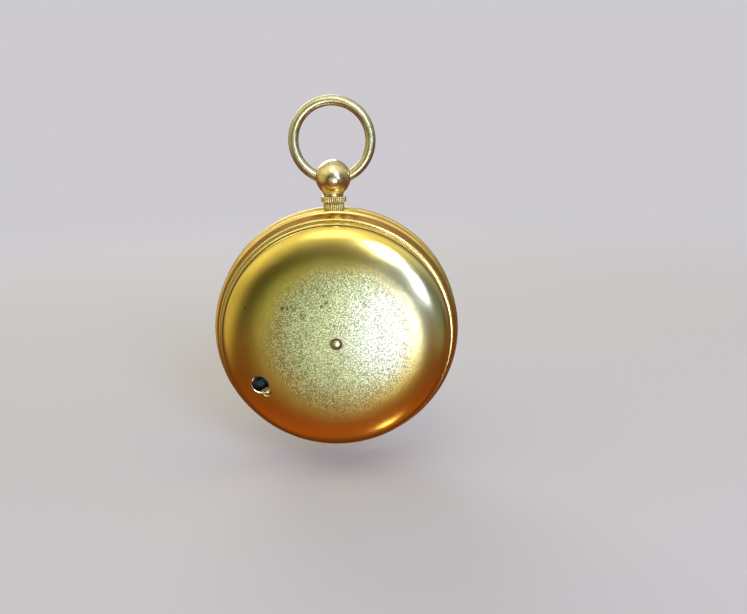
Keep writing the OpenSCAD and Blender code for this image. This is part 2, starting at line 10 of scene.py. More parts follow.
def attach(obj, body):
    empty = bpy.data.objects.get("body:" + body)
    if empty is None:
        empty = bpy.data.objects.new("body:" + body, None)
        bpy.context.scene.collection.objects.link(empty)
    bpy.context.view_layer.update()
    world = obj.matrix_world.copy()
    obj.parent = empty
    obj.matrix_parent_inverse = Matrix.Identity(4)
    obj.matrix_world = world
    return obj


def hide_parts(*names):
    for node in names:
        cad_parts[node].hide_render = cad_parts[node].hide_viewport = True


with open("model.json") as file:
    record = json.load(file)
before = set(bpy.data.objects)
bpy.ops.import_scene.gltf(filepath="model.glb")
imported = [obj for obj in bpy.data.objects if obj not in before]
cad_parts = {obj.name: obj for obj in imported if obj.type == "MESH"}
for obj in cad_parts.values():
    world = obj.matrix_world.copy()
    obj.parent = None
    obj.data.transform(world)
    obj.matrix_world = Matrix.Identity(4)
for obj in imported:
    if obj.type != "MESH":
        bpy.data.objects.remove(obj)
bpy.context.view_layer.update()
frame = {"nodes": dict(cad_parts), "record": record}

# Every piece is drawn in millimetres in the watch's own frame: u to the right and v up as seen from the dial, z towards
# the dial, zero at the groove of the back. to_row() then puts it in the row frame, in metres.
PH, HANG = 6.6, 43.13
TO_ROW = Matrix(((0.001, 0, 0, 0), (0, 0, -0.001, PH * 0.001), (0, 0.001, 0, -HANG * 0.001), (0, 0, 0, 1)))
BALL_V, BALL_RAD, BOW_V, BOW_R, WIRE_R = 30.0, 3.35, 36.87, 7.23, 0.964


# ---------------------------------------------------------------- materials

class Tree:
    """A material's node tree, with short calls for the nodes used here."""

    def __init__(self, name):
        self.mat = bpy.data.materials.new(name)
        self.mat.use_nodes = True
        self.nt = self.mat.node_tree
        self.nt.nodes.clear()
        self.out = self.add("ShaderNodeOutputMaterial")
        self.bsdf = self.add("ShaderNodeBsdfPrincipled")
        self.nt.links.new(self.bsdf.outputs[0], self.out.inputs[0])
        self.coord = self.add("ShaderNodeTexCoord").outputs["Object"]
        self.mm = self.vec("SCALE", self.coord, scale=1000.0)

    def add(self, kind, **props):
        n = self.nt.nodes.new(kind)
        for k, v in props.items():
            setattr(n, k, v)
        return n

    def put(self, socket, value):
        if hasattr(value, "is_output") or isinstance(value, bpy.types.NodeSocket):
            self.nt.links.new(value, socket)
        else:
            socket.default_value = value

    def math(self, op, a, b=None, c=None, clamp=False):
        n = self.add("ShaderNodeMath", operation=op, use_clamp=clamp)
        self.put(n.inputs[0], a)
        if b is not None:
            self.put(n.inputs[1], b)
        if c is not None:
            self.put(n.inputs[2], c)
        return n.outputs[0]

    def vec(self, op, a, b=None, scale=None):
        n = self.add("ShaderNodeVectorMath", operation=op)
        self.put(n.inputs[0], a)
        if b is not None:
            self.put(n.inputs[1], b)
        if scale is not None:
            n.inputs["Scale"].default_value = scale
        return n.outputs["Value" if op in ("LENGTH", "DISTANCE", "DOT_PRODUCT") else "Vector"]

    def ramp(self, value, lo, hi, a=0.0, b=1.0, smooth=True):
        n = self.add("ShaderNodeMapRange", interpolation_type="SMOOTHSTEP" if smooth else "LINEAR")
        n.clamp = True
        self.put(n.inputs["Value"], value)
        n.inputs["From Min"].default_value = lo
        n.inputs["From Max"].default_value = hi
        self.put(n.inputs["To Min"], a)
        self.put(n.inputs["To Max"], b)
        return n.outputs[0]

    def mix(self, f, a, b, blend="MIX"):
        n = self.add("ShaderNodeMix", data_type="RGBA", blend_type=blend)
        self.put(n.inputs[0], f)
        self.put(n.inputs[6], a)
        self.put(n.inputs[7], b)
        return n.outputs[2]

    def noise(self, scale, detail=2.0, rough=0.5, vector=None, w=0.0):
        n = self.add("ShaderNodeTexNoise", noise_dimensions="3D")
        self.put(n.inputs["Vector"], self.vec("ADD", vector or self.mm, (w, w * 1.7, w * 0.6)) if w else (vector or self.mm))
        n.inputs["Scale"].default_value = scale
        n.inputs["Detail"].default_value = detail
        n.inputs["Roughness"].default_value = rough
        return n.outputs["Fac"]

    def cells(self, scale, feature="F1", vector=None, smooth=0.0, out="Distance"):
        n = self.add("ShaderNodeTexVoronoi", feature=feature)
        self.put(n.inputs["Vector"], vector or self.mm)
        n.inputs["Scale"].default_value = scale
        if feature == "SMOOTH_F1":
            n.inputs["Smoothness"].default_value = smooth
        return n.outputs[out]

    def bump(self, height, distance, strength=1.0, normal=None):
        n = self.add("ShaderNodeBump")
        n.inputs["Distance"].default_value = distance
        n.inputs["Strength"].default_value = strength
        self.put(n.inputs["Height"], height)
        if normal is not None:
            self.put(n.inputs["Normal"], normal)
        return n.outputs[0]

    def xyz(self, vector):
        n = self.add("ShaderNodeSeparateXYZ")
        self.put(n.inputs[0], vector)
        return n.outputs

    def axis(self, origin=(0.0, 0.0, -HANG), rest=PH):
        """Place measured from the watch's own axis: vector, radius, height towards the dial."""
        q = self.vec("SUBTRACT", self.mm, origin)
        x, y, z = self.xyz(q)
        r = self.math("SQRT", self.math("ADD", self.math("MULTIPLY", x, x), self.math("MULTIPLY", z, z)))
        return q, r, self.math("SUBTRACT", rest, y)

    def edge(self, lo, hi):
        """Convex edges, from the mesh's own shape."""
        g = self.add("ShaderNodeNewGeometry")
        return self.ramp(g.outputs["Pointiness"], lo, hi)

    def crevice(self, distance, samples=6):
        n = self.add("ShaderNodeAmbientOcclusion", samples=samples, only_local=False)
        n.inputs["Distance"].default_value = distance
        return n.outputs["AO"]

    def done(self, base, rough, metal=1.0, normal=None, **sockets):
        self.put(self.bsdf.inputs["Base Color"], base)
        self.put(self.bsdf.inputs["Roughness"], rough)
        if metal is not None:
            self.bsdf.inputs["Metallic"].default_value = metal
        if normal is not None:
            self.put(self.bsdf.inputs["Normal"], normal)
        for k, v in sockets.items():
            self.bsdf.inputs[k.replace("_", " ")].default_value = v
        return self.mat


def c4(r, g, b):
    return (r, g, b, 1.0)


HOLE, LOBE = (16.87, -28.69), (16.565, -35.42)


def polar(p):
    return p[0] * math.cos(math.radians(p[1])), p[0] * math.sin(math.radians(p[1]))


GOLD = c4(0.92, 0.71, 0.16)
GOLD_PALE = c4(0.76, 0.81, 0.42)
GOLD_DEEP = c4(0.72, 0.42, 0.10)
# a dark brown, used for the painted shade in crevices and for the dark line round the rivet and in the lip's groove
DARK_BROWN = c4(0.16, 0.10, 0.035)


def back_material():
    t = Tree("gilt_back")
    q, r, zz = t.axis()
    x, y, z = t.xyz(q)
    # where the frosted grain ends: a soft, uneven ring
    wander = t.noise(0.22, 3.0, 0.55, w=3.0)
    lump = t.math("MULTIPLY", t.math("SUBTRACT", wander, 0.5), 3.0)
    flat = t.vec("MULTIPLY", q, (1.0, 0.0, 1.0))
    g = t.ramp(t.math("ADD", t.vec("LENGTH", t.vec("SUBTRACT", flat, (-0.9, 0.0, 0.2))), lump), 16.8, 12.0)
    pale = t.ramp(t.math("ADD", t.vec("LENGTH", t.vec("SUBTRACT", flat, (-1.6, 0.0, 1.8))), lump), 16.6, 9.0)
    # the grain itself: small packed pits and grains of a quarter of a millimetre
    fine = t.noise(4.6, 2.0, 0.65, w=11.0)
    pits = t.cells(4.0, "SMOOTH_F1", smooth=0.25)
    coarse = t.noise(1.7, 2.0, 0.6, w=5.0)
    grain = t.math("ADD", t.math("MULTIPLY", fine, 0.62), t.math("ADD", t.math("MULTIPLY", pits, 0.32), t.math("MULTIPLY", coarse, 0.12)))
    dark = t.ramp(grain, 0.46, 0.57)
    # wide, soft patches of colour; the two pale, near-white patches among them are painted highlights
    cloud = t.noise(0.13, 3.0, 0.6, w=21.0)
    blotch = t.noise(0.5, 3.0, 0.65, w=31.0)
    satin = t.mix(t.ramp(cloud, 0.35, 0.68), GOLD, c4(0.88, 0.66, 0.13))
    frost = t.mix(t.ramp(blotch, 0.36, 0.66), GOLD_PALE, c4(0.68, 0.71, 0.33))
    # painted highlight: the frosted grain whitened in a wide soft patch beside the middle, where the bright spot of
    # light falls
    painted_blob_highlight = t.ramp(t.vec("LENGTH", t.vec("SUBTRACT", flat, (-11.5, 0.0, 2.0))), 15.0, 4.0)
    frost = t.mix(painted_blob_highlight, frost, c4(0.83, 0.87, 0.70))
    # painted highlight: the satin shoulder paled in a soft patch towards its top, under the bright arc of light
    satin = t.mix(t.math("MULTIPLY", t.ramp(t.vec("LENGTH", t.vec("SUBTRACT", flat, (-13.0, 0.0, 6.0))), 14.0, 3.0), 0.8), satin, c4(0.86, 0.84, 0.52))
    frost = t.mix(pale, t.mix(t.ramp(blotch, 0.36, 0.66), c4(0.84, 0.68, 0.22), c4(0.74, 0.60, 0.17)), frost)
    frost = t.mix(t.math("MULTIPLY", dark, 0.85), frost, t.mix(pale, c4(0.22, 0.14, 0.03), c4(0.20, 0.20, 0.06)))
    base = t.mix(g, satin, frost)
    # specks where the gilding is worn through, most of them above the middle
    spots = None
    for u, v, size in ((9.9, 7.1, .34), (8.9, 6.95, .26), (8.3, 7.35, .22), (7.6, 6.8, .3), (5.9, 5.3, .36), (6.3, 5.9, .2), (2.1, 9.2, .22),
                       (1.6, 7.9, .3), (2.5, 7.2, .26), (0.9, 6.9, .24), (0.8, 6.0, .16), (-5.3, 7.6, .18), (-3.8, 7.3, .14), (3.1, 10.4, .15),
                       (-2.2, -2.6, .22), (-1.1, -1.9, .16), (16.6, 7.0, .2), (12.8, -4.3, .14), (-9.6, -5.2, .15), (4.4, -9.3, .17), (-6.7, 10.8, .13)):
        warp = t.vec("ADD", q, t.vec("SCALE", t.vec("SUBTRACT", t.add_color(1.9), (0.5, 0.5, 0.5)), scale=0.75))
        wx, wy, wz = t.xyz(warp)
        d = t.math("SQRT", t.math("ADD", t.math("POWER", t.math("ABSOLUTE", t.math("SUBTRACT", wx, u)), 2.0), t.math("POWER", t.math("ABSOLUTE", t.math("SUBTRACT", wz, v)), 2.0)))
        s = t.ramp(d, size * 1.9, size * 0.6)
        spots = s if spots is None else t.math("MAXIMUM", spots, s)
    spots = t.math("MULTIPLY", spots, t.ramp(fine, 0.30, 0.56, 0.25, 1.0))
    base = t.mix(t.math("MULTIPLY", spots, 0.85), base, c4(0.10, 0.10, 0.045))
    # a thin dark line round the rivet and in the groove of the lip
    dark_line = t.math("MAXIMUM", t.math("MULTIPLY", t.ramp(t.math("ABSOLUTE", t.math("SUBTRACT", r, 1.13)), 0.16, 0.03), 0.75), t.math("MULTIPLY", t.ramp(t.math("ABSOLUTE", t.math("SUBTRACT", zz, 0.05)), 0.13, 0.02), t.ramp(r, 21.4, 21.6)))
    base = t.mix(dark_line, base, DARK_BROWN)
    # painted highlight: a paler brass ring on the cut edge of the winding hole
    rim = None
    for place_, size in ((HOLE, 1.56), (LOBE, 0.75)):
        u, v = polar(place_)
        d = t.vec("LENGTH", t.vec("SUBTRACT", flat, (u, 0.0, v)))
        e = t.ramp(d, size + 0.34, size + 0.22) if size > 1 else t.ramp(d, size + 0.22, size + 0.12)
        rim = e if rim is None else t.math("MAXIMUM", rim, e)
    base = t.mix(rim, base, c4(0.86, 0.82, 0.52))
    # fine turning marks on the satin shoulder
    angle = t.math("ARCTAN2", z, x)
    turn = t.add("ShaderNodeCombineXYZ")
    t.put(turn.inputs[0], t.math("MULTIPLY", r, 9.0))
    t.put(turn.inputs[1], t.math("MULTIPLY", angle, 1.6))
    t.put(turn.inputs[2], t.math("MULTIPLY", zz, 9.0))
    marks = t.noise(1.0, 3.0, 0.6, vector=turn.outputs[0])
    height = t.math("ADD", t.math("MULTIPLY", grain, g), t.math("MULTIPLY", t.math("MULTIPLY", marks, 0.04), t.math("SUBTRACT", 1.0, g)))
    height = t.math("SUBTRACT", height, t.math("MULTIPLY", spots, 0.5))
    n1 = t.bump(height, 1.4e-5)
    n2 = t.bump(t.noise(0.16, 2.0, 0.5, w=41.0), 3.0e-4, 0.12, normal=n1)
    smooth = t.math("ADD", 0.18, t.math("MULTIPLY", t.ramp(marks, 0.3, 0.7), 0.04))
    rough = t.math("ADD", t.math("MULTIPLY", smooth, t.math("SUBTRACT", 1.0, g)), t.math("MULTIPLY", t.ramp(grain, 0.4, 0.7, 0.34, 0.43), g))
    rough = t.math("MAXIMUM", rough, t.math("MULTIPLY", dark_line, 0.6))
    # the frosted grain scatters part of its light in all directions
    t.put(t.bsdf.inputs["Metallic"], t.math("SUBTRACT", 1.0, t.math("MULTIPLY", g, 0.10)))
    return t.done(base, rough, metal=None, normal=n2)


def add_color(self, scale):
    if not hasattr(self, "_warp"):
        n = self.add("ShaderNodeTexNoise", noise_dimensions="3D")
        self.put(n.inputs["Vector"], self.mm)
        n.inputs["Scale"].default_value = scale
        n.inputs["Detail"].default_value = 3.0
        self._warp = n.outputs["Color"]
    return self._warp


Tree.add_color = add_color


def gilt(name, base=GOLD, rough=0.13, satin=0.0, wear=0.35, crevice_shade=0.8, hair=0.5, dirt=0.35, spot=0.0, hollow_shade=None, ring=None):
    """Gilt brass: polished, with fine hairlines, paler where edges wear, with painted shade darkening the crevices."""
    t = Tree(name)
    cloud = t.noise(0.35, 3.0, 0.6)
    col = t.mix(t.ramp(cloud, 0.34, 0.68), base, tuple(a * b for a, b in zip(base, (0.93, 0.86, 0.72, 1.0))))
    stain = t.noise(1.3, 4.0, 0.65, w=7.0)
    col = t.mix(t.math("MULTIPLY", t.ramp(stain, 0.58, 0.78), dirt), col, c4(0.42, 0.28, 0.08))
    col = t.mix(t.math("MULTIPLY", t.edge(0.52, 0.60), wear), col, c4(0.95, 0.86, 0.58))
    if hollow_shade:
        # painted shade: the hollow of the band coloured a darker brown
        q, r, zz = t.axis()
        low = t.math("MULTIPLY", t.ramp(zz, hollow_shade[0], hollow_shade[0] + 0.25), t.ramp(zz, hollow_shade[1], hollow_shade[1] - 0.25))
        col = t.mix(t.math("MULTIPLY", low, t.ramp(cloud, 0.2, 0.8, 1.0, 0.7)), col, hollow_shade[2])
    if ring:
        # a darker colour on the flat rim of the head
        q, r, zz = t.axis()
        col = t.mix(t.ramp(r, ring[0] - 0.10, ring[0] + 0.02), col, ring[1])
    # painted shade: dark brown laid into the crevices by ambient occlusion
    shade_mask = t.ramp(t.crevice(0.0006), 0.25, 0.85, crevice_shade, 0.0)
    col = t.mix(shade_mask, col, DARK_BROWN)
    line = t.add("ShaderNodeMapping")
    t.put(line.inputs["Vector"], t.mm)
    line.inputs["Rotation"].default_value = (0.4, 0.7, 0.9)
    line.inputs["Scale"].default_value = (0.5, 14.0, 14.0)
    hairs = t.noise(0.6, 3.0, 0.7, vector=line.outputs[0])
    fine = t.noise(6.0, 2.0, 0.6, w=3.0)
    height = t.math("ADD", t.math("MULTIPLY", hairs, hair), t.math("MULTIPLY", fine, satin))
    n1 = t.bump(height, 3.0e-7 if satin == 0 else 3e-6)
    n2 = t.bump(t.noise(0.35, 2.0, 0.5, w=13.0), 3e-5, 0.12, normal=n1)
    rr = t.math("ADD", rough, t.math("MULTIPLY", t.ramp(stain, 0.40, 0.75), 0.14))
    rr = t.math("ADD", rr, t.math("MULTIPLY", shade_mask, 0.35))
    if spot:
        dots = t.ramp(t.cells(0.9), 0.10, 0.05)
        keep = t.ramp(t.noise(0.4, 2.0, 0.5, w=17.0), 0.55, 0.62)
        col = t.mix(t.math("MULTIPLY", t.math("MULTIPLY", dots, keep), spot), col, c4(0.16, 0.11, 0.04))
    return t.done(col, rr, normal=n2)


def frosted(name, base, rough=0.42):
    """Grained fire gilding inside the movement."""
    t = Tree(name)
    grain = t.noise(7.0, 2.0, 0.6)
    col = t.mix(t.ramp(grain, 0.35, 0.65), base, tuple(a * b for a, b in zip(base, (0.8, 0.76, 0.66, 1.0))))
    col = t.mix(t.math("MULTIPLY", t.edge(0.52, 0.62), 0.5), col, c4(0.95, 0.84, 0.52))
    n = t.bump(grain, 1.2e-5)
    return t.done(col, t.ramp(grain, 0.3, 0.7, rough - 0.06, rough + 0.08), normal=n)


def brushed(name, base, rough=0.25, grainy=0.5, mottled=None, wear=0.35):
    """Steel and brass worked with a fine straight grain."""
    t = Tree(name)
    line = t.add("ShaderNodeMapping")
    t.put(line.inputs["Vector"], t.mm)
    line.inputs["Rotation"].default_value = (0.2, 0.5, 0.35)
    line.inputs["Scale"].default_value = (1.0, 22.0, 22.0)
    hairs = t.noise(0.8, 3.0, 0.65, vector=line.outputs[0])
    cloud = t.noise(0.6, 3.0, 0.6, w=9.0)
    col = t.mix(t.ramp(cloud, 0.36, 0.66), base, mottled or tuple(a * b for a, b in zip(base, (0.82, 0.80, 0.78, 1.0))))
    col = t.mix(t.math("MULTIPLY", t.edge(0.52, 0.62), wear), col, tuple(min(1.0, a * 1.25 + 0.06) for a in base))
    n = t.bump(hairs, 2.5e-6, grainy)
    rr = t.math("ADD", rough, t.math("MULTIPLY", t.ramp(hairs, 0.35, 0.7), 0.10))
    return t.done(col, rr, normal=n)


def enamel_material():
    """White enamel: glossy, faintly uneven, a little warm towards the edge, with a few hair cracks."""
    t = Tree("white_enamel")
    q, r, zz = t.axis()
    cloud = t.noise(0.12, 3.0, 0.6)
    col = t.mix(t.ramp(cloud, 0.35, 0.7), c4(0.86, 0.85, 0.80), c4(0.80, 0.785, 0.72))
    col = t.mix(t.ramp(r, 18.0, 20.7, 0.0, 0.5), col, c4(0.74, 0.69, 0.58))
    crack = t.cells(0.085, "DISTANCE_TO_EDGE", vector=t.vec("ADD", t.mm, t.vec("SCALE", t.add_color(0.5), scale=1.6)))
    keep = t.ramp(t.noise(0.06, 2.0, 0.5, w=27.0), 0.55, 0.62)
    line = t.math("MULTIPLY", t.ramp(crack, 0.006, 0.001), keep)
    col = t.mix(t.math("MULTIPLY", line, 0.45), col, c4(0.30, 0.26, 0.20))
    speck = t.math("MULTIPLY", t.ramp(t.cells(0.8), 0.05, 0.02), t.ramp(t.noise(0.3, 2.0, 0.5, w=2.0), 0.60, 0.66))
    col = t.mix(t.math("MULTIPLY", speck, 0.5), col, c4(0.2, 0.17, 0.13))
    n = t.bump(t.noise(0.35, 2.0, 0.5, w=33.0), 2.0e-5, 0.25)
    return t.done(col, t.ramp(cloud, 0.3, 0.7, 0.10, 0.18), metal=0.0, normal=n, Coat_Weight=0.5, Coat_Roughness=0.06)


def ink_material():
    t = Tree("black_enamel")
    fine = t.noise(5.0, 2.0, 0.6)
    col = t.mix(t.ramp(fine, 0.35, 0.7), c4(0.012, 0.012, 0.014), c4(0.035, 0.033, 0.034))
    n = t.bump(fine, 2e-6)
    return t.done(col, t.ramp(fine, 0.3, 0.7, 0.22, 0.36), metal=0.0, normal=n)


def blued_material(name="blued_steel_fine"):
    t = Tree(name)
    cloud = t.noise(0.3, 3.0, 0.6)
    col = t.mix(t.ramp(cloud, 0.35, 0.68), c4(0.025, 0.055, 0.30), c4(0.050, 0.040, 0.22))
    col = t.mix(t.math("MULTIPLY", t.edge(0.52, 0.60), 0.5), col, c4(0.20, 0.26, 0.50))
    hairs = t.noise(8.0, 2.0, 0.6)
    n = t.bump(hairs, 1.5e-6)
    return t.done(col, t.ramp(hairs, 0.3, 0.7, 0.16, 0.28), normal=n)


def ruby_material():
    t = Tree("ruby_stone")
    cloud = t.noise(2.0, 3.0, 0.6)
    col = t.mix(t.ramp(cloud, 0.3, 0.7), c4(0.50, 0.02, 0.08), c4(0.34, 0.01, 0.05))
    n = t.bump(cloud, 1e-6)
    return t.done(col, t.ramp(cloud, 0.3, 0.7, 0.05, 0.10), metal=0.0, normal=n, Coat_Weight=0.6, Coat_Roughness=0.03, IOR=1.76)


def glass_material():
    """Clear glass, with faint scratches and a little dust towards its edge."""
    t = Tree("watch_glass")
    q, r, zz = t.axis()
    line = t.add("ShaderNodeMapping")
    t.put(line.inputs["Vector"], t.mm)
    line.inputs["Rotation"].default_value = (0.3, 0.9, 0.5)
    line.inputs["Scale"].default_value = (0.3, 9.0, 9.0)
    scratch = t.noise(0.7, 3.0, 0.7, vector=line.outputs[0])
    dust = t.noise(1.2, 3.0, 0.6, w=19.0)
    col = t.mix(t.ramp(r, 19.5, 21.6), c4(0.985, 0.99, 0.985), c4(0.90, 0.93, 0.90))
    rr = t.math("ADD", t.ramp(dust, 0.45, 0.75, 0.0, 0.03), t.ramp(scratch, 0.66, 0.74, 0.005, 0.06))
    n = t.bump(scratch, 4e-7, 0.5)
    return t.done(col, rr, metal=0.0, normal=n, Transmission_Weight=1.0, IOR=1.5)


M = {
    "back": back_material(),
    "polished": gilt("gilt_polished_worn", c4(0.92, 0.73, 0.26), rough=0.12, spot=0.5, hair=0.2, wear=0.2),
    "ball": gilt("gilt_ball", c4(0.88, 0.79, 0.46), rough=0.20, spot=0.5, hair=0.08, dirt=0.2, wear=0.0),
    "bow": gilt("gilt_bow", c4(0.67, 0.65, 0.37), rough=0.28, dirt=0.25, spot=0.7, hair=0.05, wear=0.0),
    "band": gilt("gilt_band", c4(0.90, 0.69, 0.22), rough=0.20, dirt=0.3, spot=0.4, hair=0.2, wear=0.2, hollow_shade=(2.25, 4.15, c4(0.50, 0.27, 0.06))),
    "collar": gilt("gilt_collar", c4(0.88, 0.72, 0.30), rough=0.32, dirt=0.2, wear=0.35, crevice_shade=1.0, hair=0.2),
    "rivet": gilt("gilt_rivet", c4(0.66, 0.68, 0.36), rough=0.26, dirt=0.3, crevice_shade=0.6, hair=0.2, ring=(0.80, c4(0.14, 0.085, 0.03))),
    "nib": gilt("brass_nib", c4(0.95, 0.80, 0.42), rough=0.16, wear=0.6, dirt=0.15, crevice_shade=0.2),
    "inner": gilt("gilt_inside", c4(0.86, 0.64, 0.24), rough=0.28, satin=0.3, dirt=0.5),
    "movement": frosted("gilt_movement_frosted", c4(0.82, 0.64, 0.28)),
    # painted shade: the gilt winding bridge seen down the hole, coloured nearly black
    "well": brushed("well_painted_shade", c4(0.035, 0.032, 0.022), rough=0.5, mottled=c4(0.02, 0.028, 0.03), wear=0.1),
    # painted shade: the winding arbor's square, deep in the hole, coloured nearly black with a teal tint
    "key_square": brushed("steel_square_painted_shade", c4(0.025, 0.05, 0.06), rough=0.34, mottled=c4(0.012, 0.022, 0.028), wear=0.15),
    "brass": brushed("brass_grained", c4(0.80, 0.60, 0.26), rough=0.28),
    "steel": brushed("steel_polished", c4(0.60, 0.60, 0.61), rough=0.18),
    "spring": brushed("spring_steel_grained", c4(0.36, 0.37, 0.41), rough=0.30, mottled=c4(0.30, 0.28, 0.34)),
    "blued": blued_material(),
    "enamel": enamel_material(),
    "ink": ink_material(),
    "copper": brushed("copper_grained", c4(0.72, 0.40, 0.25), rough=0.32, mottled=c4(0.50, 0.28, 0.18)),
    "ruby": ruby_material(),
    "glass": glass_material(),
}
BY_SLOT = {
    "gilt_polished": "polished", "gilt_matte": "inner", "gilt_movement": "movement", "brass_plate": "brass", "steel": "steel",
    "spring_steel": "spring", "blued_steel": "blued", "enamel": "enamel", "copper": "copper", "ruby": "ruby", "crystal": "glass",
}
SLOT_OF = {s["node"]: s["material_slot"] for s in frame["record"]["subparts"]}


# ---------------------------------------------------------------- mesh tools

def soft(points, times=2, keep=(), closed=False):
    """Rounds an open or closed outline by cutting its corners, except at the points in keep."""
    pts = [(Vector(p), i in keep) for i, p in enumerate(points)]
    for _ in range(times):
        out = []
        n = len(pts)
        for i, (p, k) in enumerate(pts):
            if k or (not closed and i in (0, n - 1)):
                out.append((p, k))
                continue
            a, b = pts[i - 1][0], pts[(i + 1) % n][0]
            out.append((p.lerp(a, 0.25), False))
            out.append((p.lerp(b, 0.25), False))
        pts = out
    return [tuple(p) for p, _ in pts]


def new(name, verts, faces):
    me = bpy.data.meshes.new(name)
    me.from_pydata([tuple(v) for v in verts], [], faces)
    me.validate()
    bm = bmesh.new()
    bm.from_mesh(me)
    bmesh.ops.recalc_face_normals(bm, faces=bm.faces)
    bm.to_mesh(me)
    bm.free()
    o = bpy.data.objects.new(name, me)
    bpy.context.scene.collection.objects.link(o)
    return o


def lathe(name, outline, n=256, shape=None):
    """A closed outline of (radius, height) points turned about z. shape(angle, radius, height) may change the radius."""
    verts, rings = [], []
    for r, h in outline:
        if r < 1e-6:
            rings.append([len(verts)])
            verts.append((0, 0, h))
        else:
            ring = []
            for k in range(n):
                a = 2 * math.pi * k / n
                rr = shape(a, r, h) if shape else r
                ring.append(len(verts))
                verts.append((rr * math.cos(a), rr * math.sin(a), h))
            rings.append(ring)
    faces = []
    m = len(rings)
    for i in range(m):
        a, b = rings[i], rings[(i + 1) % m]
        if len(a) == 1 and len(b) == 1:
            continue
        for k in range(n):
            l = (k + 1) % n
            if len(a) == 1:
                faces.append((a[0], b[k], b[l]))
            elif len(b) == 1:
                faces.append((a[k], a[l], b[0]))
            else:
                faces.append((a[k], a[l], b[l], b[k]))
    return new(name, verts, faces)


def rod(name, r, h0, h1, n=64, chamfer=0.0):
    c = chamfer
    if c:
        pts = [(0, h0), (r - c, h0)] + [(r - c + c * math.sin(t), h0 + c - c * math.cos(t)) for t in (0.4, 0.8, 1.2)] + [(r, h0 + c), (r, h1 - c)] + \
              [(r - c + c * math.cos(t), h1 - c + c * math.sin(t)) for t in (0.4, 0.8, 1.2)] + [(r - c, h1), (0, h1)]
    else:
        pts = [(0, h0), (r, h0), (r, h1), (0, h1)]
    return lathe(name, pts, n)


def prism(name, outline, h0, h1):
    n = len(outline)
    verts = [(x, y, h0) for x, y in outline] + [(x, y, h1) for x, y in outline]
    faces = [tuple(range(n))[::-1], tuple(range(n, 2 * n))] + [(i, (i + 1) % n, (i + 1) % n + n, i + n) for i in range(n)]
    return new(name, verts, faces)


# rod axes: along z, along u, and along the pendant (from the case centre upwards at height PH)
ALONG_U = Matrix(((0, 0, 1, 0), (1, 0, 0, 0), (0, 1, 0, 0), (0, 0, 0, 1)))
PENDANT = Matrix(((1, 0, 0, 0), (0, 0, 1, 0), (0, -1, 0, PH), (0, 0, 0, 1)))


def moved(o, *matrices):
    for m in matrices:
        o.data.transform(m)
    return o


def at(u, v, z=0.0):
    return Matrix.Translation((u, v, z))


def turned_by(degrees):
    return Matrix.Rotation(math.radians(degrees), 4, "Z")


def bake(o):
    bpy.context.view_layer.update()
    deps = bpy.context.evaluated_depsgraph_get()
    me = bpy.data.meshes.new_from_object(o.evaluated_get(deps), depsgraph=deps)
    o.modifiers.clear()
    o.data = me
    return o


def combine(o, others, how):
    for t in others:
        m = o.modifiers.new("boolean", "BOOLEAN")
        m.operation, m.object, m.solver = how, t, "MANIFOLD"
    bake(o)
    for t in others:
        bpy.data.objects.remove(t)
    return o


def cut(o, *others):
    return combine(o, others, "DIFFERENCE")


def fuse(o, *others):
    return combine(o, others, "UNION")


def bevel(o, width, segments=2, angle=35):
    m = o.modifiers.new("bevel", "BEVEL")
    m.width, m.segments, m.limit_method, m.angle_limit = width, segments, "ANGLE", math.radians(angle)
    m.harden_normals = False
    return bake(o)


def join(name, parts):
    bm = bmesh.new()
    for p in parts:
        bm.from_mesh(p.data)
    me = bpy.data.meshes.new(name)
    bm.to_mesh(me)
    bm.free()
    for p in parts:
        bpy.data.objects.remove(p)
    o = bpy.data.objects.new(name, me)
    bpy.context.scene.collection.objects.link(o)
    return o


def place(o, body, material, nodes=(), sharp=32, watch_frame=True):
    if watch_frame:
        o.data.transform(TO_ROW)
    for p in o.data.polygons:
        p.use_smooth = True
    o.data.set_sharp_from_angle(angle=math.radians(sharp))
    o.data.materials.clear()
    o.data.materials.append(M[material])
    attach(o, body)
    if nodes:
        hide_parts(*nodes)
    return o


def arc(cx, cy, r, a0, a1, n):
    return [(cx + r * math.cos(math.radians(a0 + (a1 - a0) * i / n)), cy + r * math.sin(math.radians(a0 + (a1 - a0) * i / n))) for i in range(n + 1)]


# ---------------------------------------------------------------- bow

def sweep(name, path, radius, n=40):
    """A round wire along a path of points in one plane (z = 0)."""
    verts, faces = [], []
    m = len(path)
    for i, (x, y) in enumerate(path):
        a, b = path[max(0, i - 1)], path[min(m - 1, i + 1)]
        tx, ty = b[0] - a[0], b[1] - a[1]
        l = math.hypot(tx, ty)
        nx, ny = ty / l, -tx / l
        for k in range(n):
            t = 2 * math.pi * k / n
            verts.append((x + nx * radius * math.cos(t), y + ny * radius * math.cos(t), radius * math.sin(t)))
    for i in range(m - 1):
        for k in range(n):
            l = (k + 1) % n
            faces.append((i * n + k, i * n + l, (i + 1) * n + l, (i + 1) * n + k))
    faces.append(tuple(range(n))[::-1])
    faces.append(tuple((m - 1) * n + k for k in range(n)))
    return new(name, verts, faces)


def sphere(name, r, rings=80, n=160):
    return lathe(name, [(r * math.sin(math.radians(a)), -r * math.cos(math.radians(a))) for a in np.linspace(0, 180, rings + 1)], n)


ring = sweep("bow_wire", arc(0, 0, BOW_R, -90 + 19, 270 - 19, 260), WIRE_R, 48)
moved(ring, at(0, BOW_V, PH))
ring = cut(ring, moved(sphere("clearance", BALL_RAD + 0.04), at(0, BALL_V, PH)))
ends = []
for s in (-1, 1):
    pin = moved(rod("pin", 0.6, 1.6, 3.6, 48, 0.08), ALONG_U)
    if s < 0:
        pin.data.transform(Matrix.Rotation(math.pi, 4, "Z"))
    ends.append(moved(pin, at(0, BALL_V, PH)))
ring = fuse(ring, *ends)
ring.name = "bow_ring"
place(ring, "bow", "bow", ["bow"])


# ---------------------------------------------------------------- pendant

